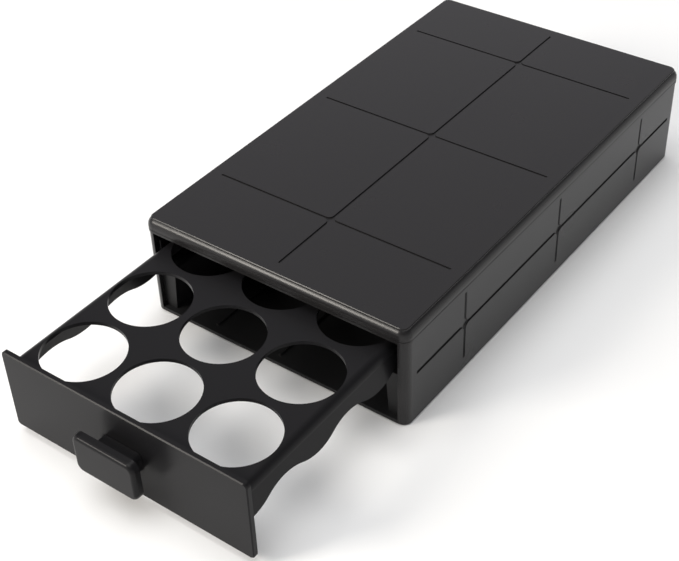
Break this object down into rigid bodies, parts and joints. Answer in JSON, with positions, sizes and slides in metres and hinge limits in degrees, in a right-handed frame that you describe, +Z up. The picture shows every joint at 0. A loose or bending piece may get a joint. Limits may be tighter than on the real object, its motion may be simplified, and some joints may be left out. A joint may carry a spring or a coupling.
{
  "type": "coffee pod drawer",
  "caption": "Low black cabinet with a sliding drawer; its deck holds coffee pods by their rims in round pockets, and grooves tile its top and sides.",
  "frame": {"origin": "centre of the cabinet's flat underside, over the base plate", "axes": "+Z up, +Y from the drawer's mouth to the rear wall, +X to the right of someone facing the drawer"},
  "size_m": [0.18, 0.4483, 0.067],
  "materials": {
    "cabinet_plastic": "semi-gloss moulded black",
    "drawer_plastic": "semi-gloss moulded black",
    "inner_plastic": "satin moulded black",
    "foot_rubber": "matte",
    "screw_steel": "zinc plated"
  },
  "bodies": {
    "cabinet": {"top_cover": "cabinet_plastic", "cabinet_body": "cabinet_plastic", "base_plate": "inner_plastic", "left_runner": "inner_plastic", "right_runner": "inner_plastic", "foot_front_left": "foot_rubber", "foot_front_right": "foot_rubber", "foot_rear_left": "foot_rubber", "foot_rear_right": "foot_rubber", "base_screws": "screw_steel"},
    "drawer": {"drawer_tray": "drawer_plastic", "drawer_front": "drawer_plastic", "pull_handle": "drawer_plastic", "front_screws": "screw_steel", "handle_screws": "screw_steel"}
  },
  "joints": [
    {"name": "drawer_slide", "type": "slide", "parent": "cabinet", "child": "drawer", "axis": [0, -1, 0], "range_m": [-0.1188, 0.143]}
  ]
}
